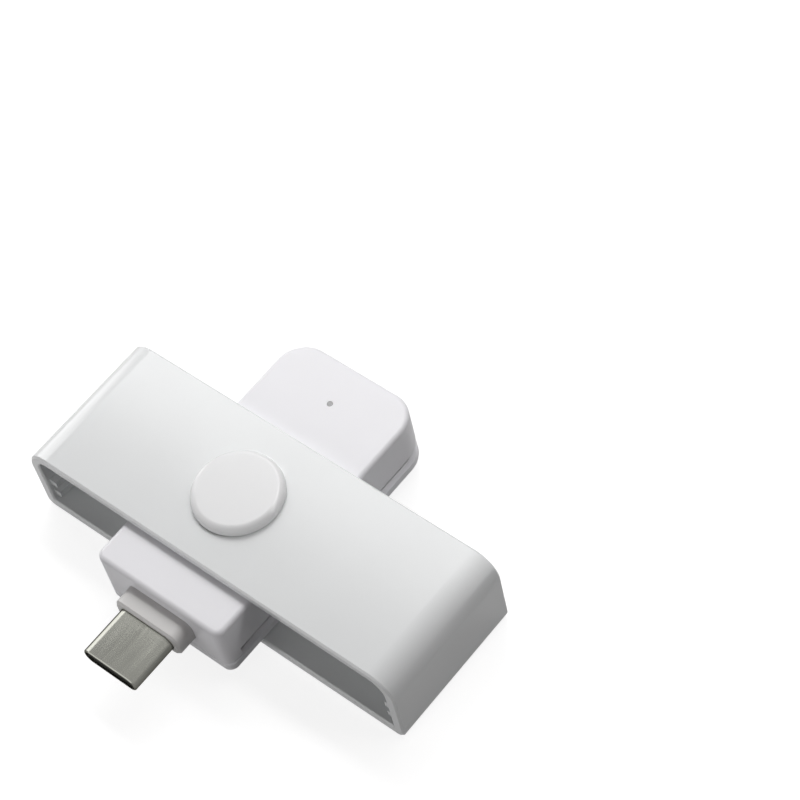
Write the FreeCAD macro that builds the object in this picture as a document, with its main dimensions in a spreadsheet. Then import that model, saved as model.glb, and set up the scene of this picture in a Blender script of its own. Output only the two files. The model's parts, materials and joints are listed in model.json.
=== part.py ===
import FreeCAD, Part
import math
import os
import re

import Sketcher

# Swivel smart card reader, in millimetres.
# X runs along the sleeve, the card goes in from +Y, the plug points to -Y and Z is up.
# The origin lies on the swivel axis, on the table that the sleeve stands on.

Vector = FreeCAD.Vector

SIZES = {
    # Sleeve: the moulded loop that the module turns in
    "sleeve_length": 58.4,
    "sleeve_depth": 20.0,
    "sleeve_height": 12.2,
    "sleeve_shift": 2.45,
    "top_plate": 1.3,
    "bottom_plate": 1.4,
    "end_wall": 1.5,
    "top_corner": 3.5,
    "bottom_corner": 1.2,
    "inner_corner": 0.5,
    "rim_bevel": 0.25,
    "inner_bevel": 0.2,
    # Rails on the end walls, which guide the card's long edges
    "rail_reach": 1.1,
    "rail_height": 1.0,
    "rail_setback": 0.6,
    "rail_lead": 0.35,
    # Card slot, which the rails and the module share
    "slot_floor": 3.5,
    "slot_height": 1.2,
    # Swivel: bosses of the module in bores of the sleeve, held by a cap at each end
    "plate_gap": 0.2,
    "pivot_bore": 9.8,
    "pivot_clearance": 0.08,
    "cap_gap": 0.1,
    "cap_diameter": 11.7,
    "cap_rise": 1.15,
    "cap_round": 0.85,
    "stem": 4.0,
    "cap_stem": 2.2,
    "foot_cap": 12.0,
    "foot_cap_thickness": 0.6,
    "foot_cap_recess": 0.1,
    "foot_cap_side": 0.15,
    "foot_stem": 1.6,
    # Module: the housing halves above and below the card
    "module_width": 20.0,
    "front_reach": 15.7,
    "tongue_reach": 22.5,
    "tongue_corner": 4.0,
    "front_corner": 1.2,
    "top_round": 0.6,
    "foot_bevel": 0.4,
    "housing_wall": 1.2,
    "roof": 1.2,
    "stop_wall": 2.3,
    "cavity_corner": 0.8,
    "seat_gap": 0.05,
    "peg": 1.1,
    "peg_depth": 3.0,
    "peg_spread": 15.2,
    "lead_in": 0.5,
    # Plug
    "collar_width": 10.2,
    "collar_height": 3.9,
    "collar_corner": 1.3,
    "collar_reach": 2.7,
    "collar_bevel": 0.3,
    "plug_reach": 6.8,
    "shell_width": 8.34,
    "shell_height": 2.5,
    "shell_round": 1.15,
    "shell_wall": 0.3,
    "shell_edge": 0.12,
    "shell_tail": 0.3,
    "insulator_setback": 0.4,
    "tongue_slot": 6.7,
    "tongue_slot_depth": 5.0,
    "pin_pitch": 0.5,
    "pin_width": 0.25,
    "pin_thickness": 0.2,
    "pin_setback": 0.9,
    "pin_landing": 1.6,
    # Board and card contacts
    "carrier_thickness": 0.7,
    "board_thickness": 0.8,
    "board_gap": 0.3,
    "rib": 1.6,
    "rib_spread": 14.4,
    "rib_front": 10.0,
    "rib_rear": 13.5,
    "board_peg": 0.9,
    "contact_column": 11.25,
    "contact_offset": 3.1,
    "contact_spacing": 7.62,
    "contact_pitch": 2.54,
    "contact_width": 0.8,
    "contact_strip": 0.15,
    "contact_dip": 0.55,
    "contact_arm": 1.7,
    "contact_landing": 1.1,
    "contact_curl": 0.6,
    "window_gap": 0.3,
    "switch_place": 4.9,
    "switch_setback": 1.3,
    # Pieces on the board
    "chip_side": 5.0,
    "chip_height": 0.9,
    "chip_setback": 6.2,
    "chip_bevel": 0.15,
    "chip_mark": 0.6,
    "chip_mark_depth": 0.1,
    "crystal_length": 3.2,
    "crystal_width": 2.5,
    "crystal_height": 0.8,
    "crystal_round": 0.35,
    "crystal_place": 4.6,
    "passive_length": 1.0,
    "passive_width": 0.5,
    "passive_pitch": 1.5,
    "passive_place": 3.2,
    "passive_setback": 10.85,
    "lamp_place": 16.8,
    "lamp_length": 1.6,
    "lamp_width": 0.8,
    "lamp_height": 0.5,
    "lens_diameter": 0.64,
    "lens_height": 0.3,
    "pipe_hole": 0.8,
    "pipe_foot": 2.0,
    "pipe_gap": 0.3,
    "pipe_clearance": 0.03,
}

# Pieces in one row of plug pins, of card contacts and of small board parts
PINS = 12
CONTACTS = 4
PASSIVE_COLUMN_COUNT = 4
PASSIVE_ROW_COUNT = 3

# Places and levels that follow from the driving sizes
PLACES = {
    "sleeve_left": "sleeve_shift - sleeve_length / 2",
    "sleeve_right": "sleeve_shift + sleeve_length / 2",
    "inside_left": "sleeve_left + end_wall",
    "inside_right": "sleeve_right - end_wall",
    "inside_top": "sleeve_height - top_plate",
    "slot_ceiling": "slot_floor + slot_height",
    "module_foot": "bottom_plate + plate_gap",
    "module_top": "inside_top - plate_gap",
    "module_side": "module_width / 2",
    "cavity_side": "module_width / 2 - housing_wall",
    "cavity_rear": "tongue_reach - housing_wall",
    "cavity_top": "module_top - roof",
    "card_stop": "front_reach - stop_wall",
    "pivot_boss": "pivot_bore - 2 * pivot_clearance",
    "stem_hole": "stem + 2 * seat_gap",
    "cap_seat": "sleeve_height + cap_gap",
    "foot_cap_seat": "foot_cap_recess + foot_cap_thickness",
    "foot_bore": "foot_cap + 2 * foot_cap_side",
    "foot_bore_depth": "foot_cap_seat + cap_gap",
    "carrier_top": "slot_ceiling + carrier_thickness",
    "plug_level": "carrier_top + seat_gap + shell_height / 2",
    "board_foot": "plug_level - board_thickness / 2",
    "board_top": "plug_level + board_thickness / 2",
    "board_front": "card_stop - shell_tail - board_gap",
    "collar_front": "front_reach + collar_reach",
    "plug_tip": "collar_front + plug_reach",
    "shell_root": "card_stop - shell_tail",
    "first_contact": "contact_column - card_stop",
    "contact_left": f"sleeve_shift - contact_offset - {CONTACTS - 1} * contact_pitch / 2",
    "pin_left": f"-{PINS - 1} * pin_pitch / 2",
    "pin_back": "board_front - pin_landing",
    "pin_length": "plug_tip - insulator_setback - pin_setback - pin_back",
    "chip_row": "chip_setback - board_front",
    "lamp_top": "board_top + lamp_height + lens_height",
}

# Rows of equal pieces: an axis, the length from the first to the last, and a count
CONTACT_ROWS = [
    ("X_Axis", f"{CONTACTS - 1} * contact_pitch", CONTACTS),
    ("Y_Axis", "contact_spacing", 2),
]
PIN_ROWS = [
    ("X_Axis", f"{PINS - 1} * pin_pitch", PINS),
    ("Z_Axis", "board_thickness + pin_thickness", 2),
]
PASSIVE_ROWS = [
    ("X_Axis", "2 * passive_place", PASSIVE_COLUMN_COUNT),
    ("Y_Axis", f"{PASSIVE_ROW_COUNT - 1} * passive_pitch", PASSIVE_ROW_COUNT),
]


def sized(text):
    """Turns each name of an expression into a reference to the sheet."""
    def reference(match):
        word = match.group(0)
        if word in PLACES:
            return "(" + sized(PLACES[word]) + ")"
        return "sizes." + word
    return re.sub(r"[a-z_]+", reference, text)


def value(text):
    return float(sheet.evalExpression(sized(text)))


def bind(item, name, text):
    item.setExpression(name, sized(text))


# Bodies, sketches and features

def new_body(label, level="0"):
    """Starts a sub-part whose own frame is raised to the given level."""
    body = doc.addObject("PartDesign::Body", label)
    body.Label = label
    bind(body, "Placement.Base.z", level)
    return body


def origin_item(body, role):
    return next(item for item in body.Origin.OriginFeatures if item.Role == role)


def sketch_on(body, role, name, offset="0"):
    sketch = body.newObject("Sketcher::SketchObject", name)
    sketch.AttachmentSupport = [(origin_item(body, role), "")]
    sketch.MapMode = "FlatFace"
    bind(sketch, "AttachmentOffset.Base.z", offset)
    return sketch


def drive(sketch, constraint, text):
    index = sketch.addConstraint(constraint)
    sketch.setExpression(f"Constraints[{index}]", sized(text))


def place(sketch, kind, element, point, text):
    """Drives one coordinate of a point, measured from the sketch's origin."""
    drive(sketch, Sketcher.Constraint(kind, -1, 1, element, point, value(text)), text)


def rounded_box(sketch, left, low, right, high, rounds):
    """Draws a box; rounds are its corners' radii, anticlockwise from the low left one."""
    x0, y0, x1, y1 = [value(text) for text in (left, low, right, high)]
    corners = [Vector(x0, y0, 0), Vector(x1, y0, 0), Vector(x1, y1, 0), Vector(x0, y1, 0)]
    ways = [Vector(1, 0, 0), Vector(0, 1, 0), Vector(-1, 0, 0), Vector(0, -1, 0)]
    radii = [value(text) for text in rounds]
    lines = []
    for k in range(4):
        start = corners[k] + ways[k] * radii[k]
        end = corners[(k + 1) % 4] - ways[k] * radii[(k + 1) % 4]
        lines.append(sketch.addGeometry(Part.LineSegment(start, end), False))
        sketch.addConstraint(Sketcher.Constraint("Vertical" if k % 2 else "Horizontal", lines[k]))
    place(sketch, "DistanceY", lines[0], 1, low)
    place(sketch, "DistanceX", lines[1], 1, right)
    place(sketch, "DistanceY", lines[2], 1, high)
    place(sketch, "DistanceX", lines[3], 1, left)
    for k in range(4):
        before = lines[k - 1]
        after = lines[k]
        if radii[k] == 0:
            sketch.addConstraint(Sketcher.Constraint("Coincident", before, 2, after, 1))
            continue
        centre = corners[k] + (ways[k] - ways[k - 1]) * radii[k]
        circle_of_arc = Part.Circle(centre, Vector(0, 0, 1), radii[k])
        turn = math.pi + k * math.pi / 2
        arc = sketch.addGeometry(Part.ArcOfCircle(circle_of_arc, turn, turn + math.pi / 2), False)
        sketch.addConstraint(Sketcher.Constraint("Tangent", before, 2, arc, 1))
        sketch.addConstraint(Sketcher.Constraint("Tangent", arc, 2, after, 1))
        drive(sketch, Sketcher.Constraint("Radius", arc, radii[k]), rounds[k])


def plain_box(sketch, left, low, right, high):
    rounded_box(sketch, left, low, right, high, ["0", "0", "0", "0"])


def polygon(sketch, points):
    """Draws a closed outline whose every point is driven by two expressions."""
    spots = [Vector(value(x), value(y), 0) for x, y in points]
    lines = []
    for k, spot in enumerate(spots):
        following = spots[(k + 1) % len(spots)]
        lines.append(sketch.addGeometry(Part.LineSegment(spot, following), False))
    for k, (x, y) in enumerate(points):
        sketch.addConstraint(Sketcher.Constraint("Coincident", lines[k - 1], 2, lines[k], 1))
        place(sketch, "DistanceX", lines[k], 1, x)
        place(sketch, "DistanceY", lines[k], 1, y)


def circle(sketch, x, y, diameter):
    ring = Part.Circle(Vector(value(x), value(y), 0), Vector(0, 0, 1), value(diameter) / 2)
    index = sketch.addGeometry(ring, False)
    place(sketch, "DistanceX", index, 3, x)
    place(sketch, "DistanceY", index, 3, y)
    drive(sketch, Sketcher.Constraint("Diameter", index, value(diameter)), diameter)


def extrude(kind, body, sketch, length, reverse, symmetric):
    feature = body.newObject("PartDesign::" + kind, sketch.Name + "_" + kind.lower())
    feature.Profile = sketch
    bind(feature, "Length", length)
    feature.Reversed = reverse
    if symmetric:
        feature.SideType = "Symmetric"
    doc.recompute()
    return feature


def pad(body, sketch, length, reverse=False, symmetric=False):
    return extrude("Pad", body, sketch, length, reverse, symmetric)


def pocket(body, sketch, length, reverse=False, symmetric=False):
    before = body.Shape.Volume
    feature = extrude("Pocket", body, sketch, length, reverse, symmetric)
    if body.Shape.Volume >= before:
        raise RuntimeError(sketch.Name + " cuts nothing")
    return feature


def dress(kind, body, name, size, chosen):
    """Rounds or bevels the edges of the body's last feature that the test picks."""
    base = body.Tip
    names = [f"Edge{k}" for k, edge in enumerate(base.Shape.Edges, 1) if chosen(edge)]
    feature = body.newObject("PartDesign::" + kind, name)
    feature.Base = (base, names)
    bind(feature, "Size" if kind == "Chamfer" else "Radius", size)
    doc.recompute()
    return feature


def repeat(body, originals, name, rows):
    """Repeats features along up to two axes; each row gives an axis, a length and a count."""
    pattern = body.newObject("PartDesign::LinearPattern", name)
    pattern.Originals = originals
    for suffix, (axis, length, count) in zip(("", "2"), rows):
        setattr(pattern, "Direction" + suffix, (origin_item(body, axis), [""]))
        setattr(pattern, "Occurrences" + suffix, count)
        bind(pattern, "Length" + suffix, length)
    body.Tip = pattern
    doc.recompute()


def turned(body, name, points):
    """Revolves a half profile, given as radius and height, about the body's Z axis."""
    sketch = sketch_on(body, "XZ_Plane", name)
    polygon(sketch, points)
    feature = body.newObject("PartDesign::Revolution", name + "_turned")
    feature.Profile = sketch
    feature.ReferenceAxis = (origin_item(body, "Z_Axis"), [""])
    feature.Angle = 360
    doc.recompute()


def at_level(level):
    """Picks edges that lie flat at a height."""
    height = value(level)
    return lambda edge: all(abs(vertex.Z - height) < 1e-4 for vertex in edge.Vertexes)


def at_depth(depth):
    """Picks edges that lie in a plane across Y."""
    place_y = value(depth)
    return lambda edge: all(abs(vertex.Y - place_y) < 1e-4 for vertex in edge.Vertexes)


def seen_within(left, low, right, high):
    """Picks edges that lie inside a window, looked at along Y."""
    x0, z0, x1, z1 = [value(text) for text in (left, low, right, high)]
    window = FreeCAD.BoundBox(x0, -math.inf, z0, x1, math.inf, z1)
    window.enlarge(1e-4)
    return lambda edge: all(window.isInside(vertex.Point) for vertex in edge.Vertexes)


def any_of(*tests):
    return lambda edge: any(test(edge) for test in tests)


# Sleeve

def make_sleeve():
    body = new_body("sleeve")
    outline = sketch_on(body, "XZ_Plane", "sleeve_outline")
    outer_rounds = ["bottom_corner", "bottom_corner", "top_corner", "top_corner"]
    rounded_box(outline, "sleeve_left", "0", "sleeve_right", "sleeve_height", outer_rounds)
    pad(body, outline, "sleeve_depth", symmetric=True)
    rims = any_of(at_depth("sleeve_depth / 2"), at_depth("-sleeve_depth / 2"))
    dress("Chamfer", body, "outer_rims", "rim_bevel", rims)
    inside = sketch_on(body, "XZ_Plane", "sleeve_inside")
    inner_rounds = ["inner_corner", "inner_corner", "top_corner - end_wall", "top_corner - end_wall"]
    rounded_box(inside, "inside_left", "bottom_plate", "inside_right", "inside_top", inner_rounds)
    pocket(body, inside, "2 * sleeve_depth", symmetric=True)
    loop = seen_within("inside_left", "bottom_plate", "inside_right", "inside_top")
    dress("Chamfer", body, "inner_rims", "inner_bevel", lambda edge: rims(edge) and loop(edge))
    add_rails(body)
    bore_sleeve(body)


def add_rails(body):
    rails = sketch_on(body, "XZ_Plane", "sleeve_rails")
    lower_rail = ("slot_floor - rail_height", "slot_floor")
    upper_rail = ("slot_ceiling", "slot_ceiling + rail_height")
    for low, high in (lower_rail, upper_rail):
        plain_box(rails, "inside_left - end_wall / 2", low, "inside_left + rail_reach", high)
        plain_box(rails, "inside_right - rail_reach", low, "inside_right + end_wall / 2", high)
    pad(body, rails, "sleeve_depth - 2 * rail_setback", symmetric=True)
    levels = any_of(at_level("slot_floor"), at_level("slot_ceiling"))
    mouth = at_depth("sleeve_depth / 2 - rail_setback")
    dress("Chamfer", body, "rail_leads", "rail_lead", lambda edge: levels(edge) and mouth(edge))


def bore_sleeve(body):
    top_bore = sketch_on(body, "XY_Plane", "top_bore", "sleeve_height")
    circle(top_bore, "0", "0", "pivot_bore")
    pocket(body, top_bore, "top_plate + plate_gap")
    bottom_bore = sketch_on(body, "XY_Plane", "bottom_bore")
    circle(bottom_bore, "0", "0", "pivot_bore")
    pocket(body, bottom_bore, "bottom_plate + plate_gap", reverse=True)
    cap_recess = sketch_on(body, "XY_Plane", "cap_recess")
    circle(cap_recess, "0", "0", "foot_bore")
    pocket(body, cap_recess, "foot_bore_depth", reverse=True)


# Module housing

def module_outline(sketch):
    rounds = ["front_corner", "front_corner", "tongue_corner", "tongue_corner"]
    rounded_box(sketch, "-module_side", "-front_reach", "module_side", "tongue_reach", rounds)


def cavity_outline(sketch, inset):
    """Draws the inside of the upper housing, drawn in by a gap on every side."""
    rear = f"tongue_corner - housing_wall - {inset}"
    front = f"cavity_corner - {inset}"
    side = f"cavity_side - {inset}"
    rounded_box(sketch, f"-({side})", f"-card_stop + {inset}", side, f"cavity_rear - {inset}",
                [front, front, rear, rear])


def make_upper_housing():
    body = new_body("upper_housing")
    outline = sketch_on(body, "XY_Plane", "upper_outline", "slot_ceiling")
    module_outline(outline)
    pad(body, outline, "module_top - slot_ceiling")
    stop = sketch_on(body, "XY_Plane", "card_stop_block", "slot_floor")
    rounded_box(stop, "-module_side", "-front_reach", "module_side", "-card_stop",
                ["front_corner", "front_corner", "0", "0"])
    pad(body, stop, "slot_height")
    dress("Fillet", body, "upper_edges", "top_round", at_level("module_top"))
    cavity = sketch_on(body, "XY_Plane", "upper_cavity", "slot_ceiling")
    cavity_outline(cavity, "0")
    pocket(body, cavity, "cavity_top - slot_ceiling", reverse=True)
    boss = sketch_on(body, "XY_Plane", "upper_boss", "cavity_top")
    circle(boss, "0", "0", "pivot_boss")
    pad(body, boss, "cap_seat - cavity_top")
    stem_seat = sketch_on(body, "XY_Plane", "upper_stem_hole", "cap_seat")
    circle(stem_seat, "0", "0", "stem_hole")
    pocket(body, stem_seat, "cap_stem + seat_gap")
    ribs = sketch_on(body, "XY_Plane", "roof_ribs", "board_top")
    rib_boxes(ribs)
    pad(body, ribs, "cavity_top - board_top + roof / 2")
    lamp_hole = sketch_on(body, "XY_Plane", "lamp_hole", "module_top")
    circle(lamp_hole, "0", "lamp_place", "pipe_hole")
    pocket(body, lamp_hole, "roof")
    opening = sketch_on(body, "XZ_Plane", "plug_opening", "card_stop")
    collar_outline(opening, "seat_gap", "plug_level")
    pocket(body, opening, "stop_wall", reverse=True)
    pegs = sketch_on(body, "XY_Plane", "upper_peg_holes", "slot_floor")
    peg_circles(pegs, "peg + 2 * seat_gap")
    pocket(body, pegs, "peg_depth + seat_gap", reverse=True)


def rib_boxes(sketch):
    """Draws the two long ribs that clamp the board from above and below."""
    for side in ("-rib_spread / 2", "rib_spread / 2"):
        plain_box(sketch, f"{side} - rib / 2", "-rib_front", f"{side} + rib / 2", "rib_rear")


def board_peg_circles(sketch, diameter):
    """Draws the pegs that place the board, on opposite ends of the two ribs."""
    circle(sketch, "-rib_spread / 2", "rib - rib_front", diameter)
    circle(sketch, "rib_spread / 2", "rib_rear - rib", diameter)


def peg_circles(sketch, diameter):
    for side in ("-peg_spread / 2", "peg_spread / 2"):
        circle(sketch, side, "-front_reach + stop_wall / 2", diameter)


def make_lower_housing():
    body = new_body("lower_housing")
    outline = sketch_on(body, "XY_Plane", "lower_outline", "module_foot")
    module_outline(outline)
    pad(body, outline, "slot_floor - module_foot")
    dress("Chamfer", body, "lower_edges", "foot_bevel", at_level("module_foot"))
    mouth = at_depth("tongue_reach")
    level = at_level("slot_floor")
    dress("Chamfer", body, "lower_lead", "lead_in", lambda edge: mouth(edge) and level(edge))
    boss = sketch_on(body, "XY_Plane", "lower_boss", "foot_cap_seat")
    circle(boss, "0", "0", "pivot_boss")
    pad(body, boss, "(module_foot + slot_floor) / 2 - foot_cap_seat")
    stem_seat = sketch_on(body, "XY_Plane", "lower_stem_hole", "foot_cap_seat")
    circle(stem_seat, "0", "0", "stem_hole")
    pocket(body, stem_seat, "foot_stem + seat_gap", reverse=True)
    pegs = sketch_on(body, "XY_Plane", "lower_pegs", "slot_floor")
    peg_circles(pegs, "peg")
    pad(body, pegs, "peg_depth")


def make_pivot_caps():
    cap = new_body("pivot_cap_top", "cap_seat")
    turned(cap, "top_cap_profile", [
        ("0", "-cap_stem"),
        ("stem / 2", "-cap_stem"),
        ("stem / 2", "0"),
        ("cap_diameter / 2", "0"),
        ("cap_diameter / 2", "cap_rise"),
        ("0", "cap_rise"),
    ])
    dress("Fillet", cap, "top_cap_edge", "cap_round", at_level("cap_rise"))
    foot = new_body("pivot_cap_bottom", "foot_cap_recess")
    turned(foot, "foot_cap_profile", [
        ("0", "0"),
        ("foot_cap / 2", "0"),
        ("foot_cap / 2", "foot_cap_thickness"),
        ("stem / 2", "foot_cap_thickness"),
        ("stem / 2", "foot_cap_thickness + foot_stem"),
        ("0", "foot_cap_thickness + foot_stem"),
    ])


# Plug

def collar_outline(sketch, growth, level="0"):
    across = f"collar_width / 2 + {growth}"
    tall = f"collar_height / 2 + {growth}"
    corner = f"collar_corner + {growth}"
    rounded_box(sketch, f"-({across})", f"{level} - ({tall})", across, f"{level} + {tall}", [corner] * 4)


def shell_outline(sketch, growth):
    across = f"shell_width / 2 + {growth}"
    tall = f"shell_height / 2 + {growth}"
    corner = f"shell_round + {growth}"
    rounded_box(sketch, f"-({across})", f"-({tall})", across, tall, [corner] * 4)


def make_collar():
    body = new_body("plug_collar", "plug_level")
    outline = sketch_on(body, "XZ_Plane", "collar_outline", "card_stop")
    collar_outline(outline, "0")
    pad(body, outline, "collar_front - card_stop")
    dress("Chamfer", body, "collar_edge", "collar_bevel", at_depth("-collar_front"))
    hole = sketch_on(body, "XZ_Plane", "collar_hole", "card_stop")
    shell_outline(hole, "seat_gap")
    pocket(body, hole, "collar_front - card_stop", reverse=True)


def make_shell():
    body = new_body("usb_shell", "plug_level")
    outline = sketch_on(body, "XZ_Plane", "shell_outline", "shell_root")
    shell_outline(outline, "0")
    pad(body, outline, "plug_tip - shell_root")
    dress("Chamfer", body, "shell_lip", "shell_edge", at_depth("-plug_tip"))
    inside = sketch_on(body, "XZ_Plane", "shell_inside", "shell_root")
    shell_outline(inside, "-shell_wall")
    pocket(body, inside, "plug_tip - shell_root", reverse=True)


def pin_row(body, name):
    """Draws the first upper pin's section, at the left end of its row."""
    sketch = sketch_on(body, "XZ_Plane", name, "pin_back")
    plain_box(sketch, "pin_left - pin_width / 2", "board_thickness / 2",
              "pin_left + pin_width / 2", "board_thickness / 2 + pin_thickness")
    return sketch


def make_insulator():
    body = new_body("usb_insulator", "plug_level")
    outline = sketch_on(body, "XZ_Plane", "insulator_outline", "shell_root")
    shell_outline(outline, "-(shell_wall + seat_gap)")
    pad(body, outline, "plug_tip - insulator_setback - shell_root")
    mouth = sketch_on(body, "XZ_Plane", "tongue_mouth", "plug_tip - insulator_setback")
    plain_box(mouth, "-tongue_slot / 2", "-board_thickness / 2", "tongue_slot / 2", "board_thickness / 2")
    pocket(body, mouth, "tongue_slot_depth")
    groove = pocket(body, pin_row(body, "pin_grooves"), "pin_length", reverse=True)
    repeat(body, [groove], "pin_groove_rows", PIN_ROWS)
    body.Tip.Reversed2 = True


def make_pins():
    body = new_body("usb_contacts", "plug_level")
    bar = pad(body, pin_row(body, "pin_bar"), "pin_length")
    repeat(body, [bar], "pin_rows", PIN_ROWS)
    body.Tip.Reversed2 = True


# Board, card contacts and what sits on the board

def make_carrier():
    body = new_body("contact_carrier", "slot_ceiling")
    plate = sketch_on(body, "XY_Plane", "carrier_plate")
    cavity_outline(plate, "seat_gap")
    pad(body, plate, "carrier_thickness")
    ribs = sketch_on(body, "XY_Plane", "carrier_ribs", "carrier_thickness / 2")
    rib_boxes(ribs)
    pad(body, ribs, "board_foot - slot_ceiling - carrier_thickness / 2")
    pegs = sketch_on(body, "XY_Plane", "carrier_pegs", "carrier_thickness / 2")
    board_peg_circles(pegs, "board_peg")
    pad(body, pegs, "board_top - slot_ceiling - carrier_thickness / 2")
    window = sketch_on(body, "XY_Plane", "contact_windows")
    window_box(window, "contact_left", "first_contact")
    cut = pocket(body, window, "carrier_thickness", reverse=True)
    repeat(body, [cut], "contact_window_rows", CONTACT_ROWS)
    switch_window = sketch_on(body, "XY_Plane", "switch_window")
    window_box(switch_window, "switch_place", "switch_setback - card_stop")
    pocket(body, switch_window, "carrier_thickness", reverse=True)


def window_box(sketch, x, y):
    """Draws the hole that one spring dips through."""
    half = "contact_width / 2 + window_gap"
    plain_box(sketch, f"{x} - ({half})", f"{y} - 2 * contact_curl - window_gap",
              f"{x} + {half}", f"{y} + contact_curl / 2 + contact_arm")


def spring_profile(sketch, tip):
    """Draws a bent strip: solder leg under the board, arm down through its window, curled tip."""
    root = f"{tip} + contact_curl / 2 + contact_arm"
    leg = f"{root} + contact_landing"
    touch = "slot_ceiling - contact_dip"
    polygon(sketch, [
        (f"{tip} - 1.5 * contact_curl", "slot_ceiling"),
        (f"{tip} - contact_curl / 2", touch),
        (f"{tip} + contact_curl / 2", touch),
        (root, "carrier_top"),
        (f"{leg} + contact_strip", "carrier_top"),
        (f"{leg} + contact_strip", "board_foot"),
        (leg, "board_foot"),
        (leg, "carrier_top + contact_strip"),
        (root, "carrier_top + contact_strip"),
        (f"{tip} + contact_curl / 2", f"{touch} + contact_strip"),
        (f"{tip} - contact_curl / 2", f"{touch} + contact_strip"),
        (f"{tip} - 1.5 * contact_curl", "slot_ceiling + contact_strip"),
    ])


def make_springs():
    body = new_body("card_contacts")
    profile = sketch_on(body, "YZ_Plane", "contact_profile", "contact_left")
    spring_profile(profile, "first_contact")
    spring = pad(body, profile, "contact_width", symmetric=True)
    repeat(body, [spring], "contact_rows", CONTACT_ROWS)
    switch = new_body("card_switch")
    leaf = sketch_on(switch, "YZ_Plane", "switch_leaf", "switch_place")
    spring_profile(leaf, "switch_setback - card_stop")
    pad(switch, leaf, "contact_width", symmetric=True)


def make_board():
    body = new_body("main_board", "board_foot")
    outline = sketch_on(body, "XY_Plane", "board_outline")
    side = "cavity_side - board_gap"
    rear = "tongue_corner - housing_wall - board_gap"
    rounded_box(outline, f"-({side})", "-board_front", side, "cavity_rear - board_gap",
                ["board_gap", "board_gap", rear, rear])
    pad(body, outline, "board_thickness")
    holes = sketch_on(body, "XY_Plane", "board_holes")
    board_peg_circles(holes, "board_peg + 2 * seat_gap")
    pocket(body, holes, "board_thickness", reverse=True)


def board_block(body, name, x, y, length, width, height):
    """Pads a block that stands on the board, about a place in plan."""
    sketch = sketch_on(body, "XY_Plane", name)
    plain_box(sketch, f"{x} - {length} / 2", f"{y} - {width} / 2",
              f"{x} + {length} / 2", f"{y} + {width} / 2")
    return pad(body, sketch, height)


def make_chip():
    body = new_body("controller_chip", "board_top")
    board_block(body, "chip_block", "0", "chip_row", "chip_side", "chip_side", "chip_height")
    dress("Chamfer", body, "chip_edges", "chip_bevel", at_level("chip_height"))
    mark = sketch_on(body, "XY_Plane", "chip_mark_spot", "chip_height")
    inset = "chip_side / 2 - chip_bevel - chip_mark"
    circle(mark, f"-({inset})", f"chip_row + {inset}", "chip_mark")
    pocket(body, mark, "chip_mark_depth")


def make_small_parts():
    crystal = new_body("crystal", "board_top")
    board_block(crystal, "crystal_can", "crystal_place", "chip_row",
                "crystal_width", "crystal_length", "crystal_height")
    dress("Fillet", crystal, "crystal_edges", "crystal_round", at_level("crystal_height"))
    passives = new_body("passives", "board_top")
    block = board_block(passives, "passive_block", "-passive_place", "chip_row + passive_setback",
                        "passive_length", "passive_width", "passive_width")
    repeat(passives, [block], "passive_rows", PASSIVE_ROWS)


def make_lamp():
    lamp = new_body("led_lamp", "board_top")
    board_block(lamp, "lamp_base", "0", "lamp_place", "lamp_length", "lamp_width", "lamp_height")
    lens = sketch_on(lamp, "XY_Plane", "lamp_dome", "lamp_height")
    circle(lens, "0", "lamp_place", "lens_diameter")
    pad(lamp, lens, "lens_height")
    pipe = new_body("light_pipe", "cavity_top")
    bind(pipe, "Placement.Base.y", "lamp_place")
    reach = "pipe_hole / 2 - pipe_clearance"
    foot = "lamp_top + pipe_gap - cavity_top"
    turned(pipe, "pipe_profile", [
        ("0", foot),
        ("pipe_foot / 2", foot),
        ("pipe_foot / 2", "0"),
        (reach, "0"),
        (reach, "roof"),
        ("0", "roof"),
    ])


def write_parts():
    """Checks every object and writes each sub-part to its own file."""
    for item in doc.Objects:
        if "Invalid" in item.State or "Error" in item.State:
            raise RuntimeError(f"{item.Name} failed: {item.State}")
    bodies = [item for item in doc.Objects if item.TypeId == "PartDesign::Body"]
    for body in bodies:
        if body.Shape.isNull() or not body.Shape.isValid():
            raise RuntimeError(body.Label + " has no valid shape")
    os.makedirs("parts", exist_ok=True)
    for body in bodies:
        body.Shape.exportStep(f"parts/{body.Label}.step")


doc = FreeCAD.newDocument("card_reader")
sheet = doc.addObject("Spreadsheet::Sheet", "sizes")
for row, (name, size) in enumerate(SIZES.items(), 1):
    sheet.set(f"A{row}", name)
    sheet.set(f"B{row}", str(size))
    sheet.setAlias(f"B{row}", name)
doc.recompute()

make_sleeve()
make_upper_housing()
make_lower_housing()
make_pivot_caps()
make_collar()
make_shell()
make_insulator()
make_pins()
make_carrier()
make_springs()
make_board()
make_chip()
make_small_parts()
make_lamp()
doc.recompute()
write_parts()
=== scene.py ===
import json
import math

import bpy
from mathutils import Euler, Matrix, Vector


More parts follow.
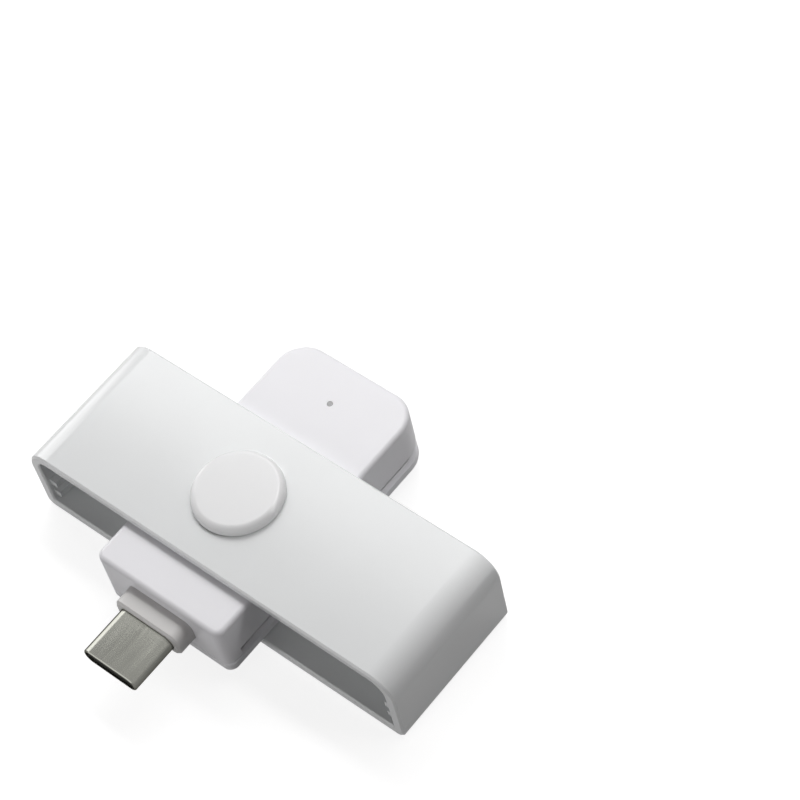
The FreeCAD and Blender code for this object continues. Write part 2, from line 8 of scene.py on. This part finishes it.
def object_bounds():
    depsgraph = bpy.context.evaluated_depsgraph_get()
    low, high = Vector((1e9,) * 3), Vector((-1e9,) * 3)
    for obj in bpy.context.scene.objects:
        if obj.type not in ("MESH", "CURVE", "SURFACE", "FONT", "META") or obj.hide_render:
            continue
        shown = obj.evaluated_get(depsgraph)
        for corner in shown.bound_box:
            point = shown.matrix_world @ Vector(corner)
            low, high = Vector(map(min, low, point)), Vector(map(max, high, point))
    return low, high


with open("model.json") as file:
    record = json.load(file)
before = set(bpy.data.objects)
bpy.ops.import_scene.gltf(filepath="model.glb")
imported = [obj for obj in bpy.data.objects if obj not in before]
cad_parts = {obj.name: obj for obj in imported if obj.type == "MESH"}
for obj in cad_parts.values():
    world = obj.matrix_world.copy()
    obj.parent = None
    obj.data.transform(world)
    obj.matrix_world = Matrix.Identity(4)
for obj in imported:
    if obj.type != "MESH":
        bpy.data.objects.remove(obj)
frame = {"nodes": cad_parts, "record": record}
cad_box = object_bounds()

# Camera, set to the photograph's view; angles in degrees, lens and sensor in millimetres, places in metres
VIEW_AZIMUTH = 51.15
VIEW_ELEVATION = 54.91
VIEW_ROLL = -14.69
VIEW_EYE = Vector((0.1513, -0.0943, 0.2746))
LENS = 119.4
SENSOR = 36.0
CLIP_START = 0.01

# Floor and background; each look of the floor is its own glow and the grey that the lamps light
FLOOR_SIDE = 6.0
FLOOR_BOUNCING = (0.0, 0.19)
FLOOR_MIRRORED = (0.40, 0.60)
FLOOR_SEEN = (0.83, 0.35)
FILL_LEVEL = 0.03
FILL_COLOUR = (1.0, 0.82, 0.82, 1.0)
WHITE = (1.0, 1.0, 1.0, 1.0)

# Row of boxes on an arc over the sleeve's right end; angles in degrees, lengths in metres, power in watts
STRIP_BOXES = 7
STRIP_START = -15.0
STRIP_STEP = 15.0
STRIP_RADIUS = 0.335
STRIP_OFFSET = 0.025
STRIP_SETBACK = 0.15
STRIP_WIDTH = 0.088
STRIP_DEPTH = 0.05
STRIP_POWER = 0.10
STRIP_FADE = 0.092

# Range that the grain of a noise texture mostly fills
GRAIN_LOW = 0.3
GRAIN_HIGH = 0.7


def set_inputs(node, **inputs):
    """Sets a node's sockets by name, with spaces written as underscores."""
    for name, content in inputs.items():
        node.inputs[name.replace("_", " ")].default_value = content


def add_node(tree, kind, **inputs):
    node = tree.nodes.new(kind)
    set_inputs(node, **inputs)
    return node


class Finish:
    """One procedural material: its node tree and its surface shader."""

    def __init__(self, name, **inputs):
        self.material = bpy.data.materials.new(name)
        self.material.use_nodes = True
        self.tree = self.material.node_tree
        self.shader = self.tree.nodes["Principled BSDF"]
        set_inputs(self.shader, **inputs)
        self.coordinates = self.add("ShaderNodeTexCoord").outputs["Object"]

    def add(self, kind, **inputs):
        return add_node(self.tree, kind, **inputs)

    def join(self, output, socket):
        self.tree.links.new(output, socket)

    def stretched(self, x, y, z):
        """Gives coordinates that a texture sees drawn out along one axis."""
        mapping = self.add("ShaderNodeMapping", Scale=(x, y, z))
        self.join(self.coordinates, mapping.inputs["Vector"])
        return mapping.outputs["Vector"]

    def noise(self, size, detail, along=None):
        """Gives grain whose features are about one size, in metres."""
        node = self.add("ShaderNodeTexNoise", Scale=1.0 / size, Detail=detail)
        self.join(along or self.coordinates, node.inputs["Vector"])
        return node.outputs["Fac"]

    def spread(self, factor, low, high):
        """Maps grain to a range of plain numbers."""
        node = self.add("ShaderNodeMapRange", From_Min=GRAIN_LOW, From_Max=GRAIN_HIGH,
                        To_Min=low, To_Max=high)
        self.join(factor, node.inputs["Value"])
        return node.outputs["Result"]

    def tint(self, factor, first, second):
        """Colours the surface between two colours that follow a grain."""
        node = self.add("ShaderNodeMix")
        node.data_type = "RGBA"
        colours = [socket for socket in node.inputs if socket.type == "RGBA"]
        colours[0].default_value = (*first, 1.0)
        colours[1].default_value = (*second, 1.0)
        self.join(self.spread(factor, 0.0, 1.0), node.inputs["Factor"])
        mixed = next(socket for socket in node.outputs if socket.type == "RGBA")
        self.join(mixed, self.shader.inputs["Base Color"])

    def gloss(self, factor, roughness):
        """Lets the roughness follow a grain between its two ends."""
        self.join(self.spread(factor, *roughness), self.shader.inputs["Roughness"])

    def relief(self, factor, depth):
        """Raises the surface by a grain, to a depth in metres."""
        node = self.add("ShaderNodeBump", Strength=1.0, Distance=depth)
        self.join(factor, node.inputs["Height"])
        self.join(node.outputs["Normal"], self.shader.inputs["Normal"])


def moulded_plastic(name, colour, shade, roughness):
    """Injection-moulded plastic: near even colour, slight flow marks and a fine orange peel."""
    finish = Finish(name, IOR=1.5)
    finish.tint(finish.noise(size=0.012, detail=2.0), colour, shade)
    finish.gloss(finish.noise(size=0.0015, detail=4.0), roughness)
    finish.relief(finish.noise(size=0.0003, detail=2.0), depth=0.6e-6)
    return finish.material


def drawn_steel(name, colour, shade):
    """Nickel-plated steel strip, drawn along the plug, with painted shade in its reflection where it is seen
    edge on.
    """
    # The dark Specular_Tint is painted shade: it darkens the edge-on reflection in place of dark
    # surroundings.
    finish = Finish(name, Metallic=1.0, Anisotropic=0.5, Specular_Tint=(0.3, 0.3, 0.28, 1.0))
    streaks = finish.noise(size=0.0004, detail=4.0, along=finish.stretched(x=1.0, y=0.06, z=1.0))
    finish.tint(finish.noise(size=0.003, detail=3.0), colour, shade)
    finish.gloss(streaks, roughness=(0.16, 0.22))
    finish.relief(streaks, depth=0.6e-6)
    return finish.material


def plated_metal(name, colour, shade):
    """Plated strip or can with faint rolling marks."""
    finish = Finish(name, Metallic=1.0)
    marks = finish.noise(size=0.0003, detail=3.0, along=finish.stretched(x=1.0, y=0.1, z=1.0))
    finish.tint(marks, colour, shade)
    finish.gloss(marks, roughness=(0.18, 0.26))
    finish.relief(marks, depth=2.0e-6)
    return finish.material


def laminate(name, colour, shade):
    """Board under solder mask, with the weave of its glass cloth."""
    finish = Finish(name, IOR=1.5)
    weave = finish.add("ShaderNodeTexBrick", Scale=1400.0)
    finish.join(finish.coordinates, weave.inputs["Vector"])
    finish.tint(finish.noise(size=0.0025, detail=4.0), colour, shade)
    finish.gloss(finish.noise(size=0.0008, detail=3.0), roughness=(0.3, 0.5))
    finish.relief(weave.outputs["Fac"], depth=4.0e-6)
    return finish.material


def resin(name, colour, shade, roughness, **inputs):
    """Cast, potted or fired material with a fine sandy surface."""
    finish = Finish(name, **inputs)
    grain = finish.noise(size=0.00025, detail=4.0)
    finish.tint(grain, colour, shade)
    finish.gloss(finish.noise(size=0.0012, detail=3.0), roughness)
    finish.relief(grain, depth=5.0e-6)
    return finish.material


def grey(level, warm=0.0):
    """Gives a grey that leans to red where warm is above zero and to blue below it."""
    return (level + warm, level, level - warm)


# The finish of each material slot in the record
FINISHES = {
    "sleeve_plastic": moulded_plastic("white_gloss_plastic", roughness=(0.14, 0.17),
                                      colour=(0.785, 0.80, 0.802), shade=(0.772, 0.786, 0.788)),
    "housing_plastic": moulded_plastic("white_satin_plastic", roughness=(0.34, 0.40),
                                       colour=(0.85, 0.845, 0.875), shade=(0.84, 0.835, 0.86)),
    "cap_plastic": moulded_plastic("white_cap_plastic", roughness=(0.21, 0.25),
                                   colour=grey(0.82, warm=-0.004), shade=grey(0.81, warm=-0.003)),
    "collar_plastic": moulded_plastic("collar_white_plastic", roughness=(0.34, 0.46),
                                      colour=grey(0.63, warm=0.010), shade=grey(0.61, warm=0.010)),
    "plug_steel": drawn_steel("nickel_plated_steel",
                              colour=(0.228, 0.228, 0.206), shade=(0.214, 0.214, 0.194)),
    "insulator_plastic": moulded_plastic("black_insulator_plastic", roughness=(0.35, 0.5),
                                         colour=grey(0.022), shade=grey(0.030)),
    "contact_gold": plated_metal("gold_plating",
                                 colour=(0.83, 0.62, 0.28), shade=(0.74, 0.53, 0.22)),
    "carrier_plastic": moulded_plastic("black_carrier_plastic", roughness=(0.4, 0.55),
                                       colour=grey(0.030), shade=grey(0.040)),
    "board_laminate": laminate("green_board",
                               colour=(0.012, 0.10, 0.045), shade=(0.018, 0.13, 0.06)),
    "chip_resin": resin("black_chip_resin", roughness=(0.45, 0.6),
                        colour=grey(0.025), shade=grey(0.04)),
    "crystal_can": plated_metal("nickel_can",
                                colour=(0.62, 0.60, 0.55), shade=(0.55, 0.53, 0.49)),
    "passive_ceramic": resin("tan_ceramic", roughness=(0.4, 0.55),
                             colour=(0.32, 0.22, 0.13), shade=(0.26, 0.17, 0.10)),
    "lamp_resin": resin("lamp_resin", roughness=(0.18, 0.25),
                        colour=(0.75, 0.72, 0.60), shade=(0.68, 0.66, 0.55)),
    "pipe_plastic": resin("smoky_pipe_plastic", roughness=(0.15, 0.25), IOR=1.49,
                          colour=grey(0.26), shade=grey(0.22)),
}


def dress_nodes():
    """Gives every node of the frame the finish of its slot in the record."""
    for entry in frame["record"]["subparts"]:
        for place in frame["nodes"][entry["node"]].material_slots:
            place.material = FINISHES[entry["material_slot"]]


def make_camera():
    """Puts the camera at the photograph's eye, with its direction and its roll."""
    azimuth = math.radians(VIEW_AZIMUTH)
    elevation = math.radians(VIEW_ELEVATION)
    back = Vector((math.sin(azimuth) * math.cos(elevation),
                   -math.cos(azimuth) * math.cos(elevation),
                   math.sin(elevation)))
    right = Vector((math.cos(azimuth), math.sin(azimuth), 0.0))
    level = Matrix((right, back.cross(right), back)).transposed()
    turn = Matrix.Rotation(math.radians(VIEW_ROLL), 3, "Z")
    lens = bpy.data.cameras.new("camera")
    lens.lens = LENS
    lens.sensor_width = SENSOR
    lens.clip_start = CLIP_START
    camera = bpy.data.objects.new("camera", lens)
    camera.matrix_world = Matrix.Translation(VIEW_EYE) @ (level @ turn).to_4x4()
    bpy.context.scene.collection.objects.link(camera)
    bpy.context.scene.camera = camera


def choose(tree, factor, first, second):
    """Gives the first shader where the factor is 0 and the second where it is 1."""
    mixer = add_node(tree, "ShaderNodeMixShader")
    for output, socket in zip((factor, first, second), mixer.inputs):
        tree.links.new(output, socket)
    return mixer.outputs["Shader"]


def floor_look(tree, glow, level):
    """Gives a surface with a glow of its own and a grey that takes light and shadow."""
    lit = add_node(tree, "ShaderNodeBsdfDiffuse", Color=(*grey(level), 1.0))
    glowing = add_node(tree, "ShaderNodeEmission", Strength=glow)
    both = add_node(tree, "ShaderNodeAddShader")
    tree.links.new(lit.outputs["BSDF"], both.inputs[0])
    tree.links.new(glowing.outputs["Emission"], both.inputs[1])
    return both.outputs["Shader"]


def make_floor():
    """A pale floor that looks white and still takes the object's shadow."""
    bpy.ops.mesh.primitive_plane_add(size=FLOOR_SIDE)
    floor = bpy.context.object
    floor.name = "floor"
    material = bpy.data.materials.new("studio_floor")
    material.use_nodes = True
    tree = material.node_tree
    tree.nodes.clear()
    path = add_node(tree, "ShaderNodeLightPath")
    looks = {"Is Glossy Ray": FLOOR_MIRRORED, "Is Transmission Ray": FLOOR_SEEN, "Is Camera Ray": FLOOR_SEEN}
    surface = floor_look(tree, *FLOOR_BOUNCING)
    for ray, look in looks.items():
        surface = choose(tree, path.outputs[ray], surface, floor_look(tree, *look))
    output = add_node(tree, "ShaderNodeOutputMaterial")
    tree.links.new(surface, output.inputs["Surface"])
    floor.data.materials.append(material)


def seen_directly(tree):
    """Gives 1 for rays that end on the background as the viewer, a mirror or glass sees it."""
    path = add_node(tree, "ShaderNodeLightPath")
    total = path.outputs["Is Camera Ray"]
    for ray in ("Is Glossy Ray", "Is Transmission Ray"):
        either = add_node(tree, "ShaderNodeMath")
        either.operation = "MAXIMUM"
        tree.links.new(total, either.inputs[0])
        tree.links.new(path.outputs[ray], either.inputs[1])
        total = either.outputs["Value"]
    return total


def make_world():
    """White where it is seen directly, and a soft fill light elsewhere."""
    world = bpy.data.worlds.new("studio")
    world.use_nodes = True
    tree = world.node_tree
    tree.nodes.clear()
    fill = add_node(tree, "ShaderNodeBackground", Color=FILL_COLOUR, Strength=FILL_LEVEL)
    white = add_node(tree, "ShaderNodeBackground", Color=WHITE)
    surface = choose(tree, seen_directly(tree), fill.outputs["Background"], white.outputs["Background"])
    output = add_node(tree, "ShaderNodeOutputWorld")
    tree.links.new(surface, output.inputs["Surface"])
    bpy.context.scene.world = world


def softbox(name, place, turn, width, depth, power):
    """Hangs a rectangular lamp; its sizes are in metres and its power is in watts."""
    lamp = bpy.data.lights.new(name, "AREA")
    lamp.shape = "RECTANGLE"
    lamp.size = width
    lamp.size_y = depth
    lamp.energy = power
    box = bpy.data.objects.new(name, lamp)
    box.location = place
    box.rotation_euler = turn
    bpy.context.scene.collection.objects.link(box)


def aimed_softbox(name, aim, offset, width, depth, power):
    """Hangs a lamp at an offset from its aim, looking back at it."""
    turn = (-offset).to_track_quat("-Z", "Y").to_euler()
    softbox(name, aim + offset, turn, width, depth, power)


def fading_strip(centre):
    """A row of boxes that bends down to the right and fades, so the shine on the sleeve's end fades too."""
    tilt = math.atan2(STRIP_SETBACK, STRIP_RADIUS)
    for step in range(STRIP_BOXES):
        angle = math.radians(STRIP_START + STRIP_STEP * step)
        across = STRIP_RADIUS * math.sin(angle)
        above = STRIP_RADIUS * math.cos(angle)
        place = centre + Vector((across, STRIP_SETBACK, above))
        power = STRIP_POWER * (1.0 - STRIP_FADE * step)
        softbox(f"strip_softbox_{step}", place, Euler((-tilt, angle, 0.0)), STRIP_WIDTH, STRIP_DEPTH, power)


def light_studio():
    """Four boxes round the part and a fading row over the sleeve's right end."""
    middle = (cad_box[0] + cad_box[1]) / 2
    key_aim = middle + Vector((-0.18, 0.0, 0.0))
    aimed_softbox("key_softbox", key_aim, offset=Vector((0.0, 0.178, 0.275)),
                  width=0.20, depth=0.15, power=0.46)
    aimed_softbox("rear_softbox", middle, offset=Vector((-0.14, 0.29, 0.22)),
                  width=0.62, depth=0.32, power=0.53)
    aimed_softbox("edge_softbox", middle, offset=Vector((-0.365, 0.075, 0.16)),
                  width=0.10, depth=0.34, power=0.34)
    aimed_softbox("front_softbox", middle, offset=Vector((-0.04, -0.38, 0.11)),
                  width=0.58, depth=0.30, power=0.68)
    fading_strip(middle + Vector((STRIP_OFFSET, 0.0, 0.0)))


dress_nodes()
make_camera()
make_floor()
make_world()
light_studio()
bpy.context.scene.view_settings.view_transform = "Standard"
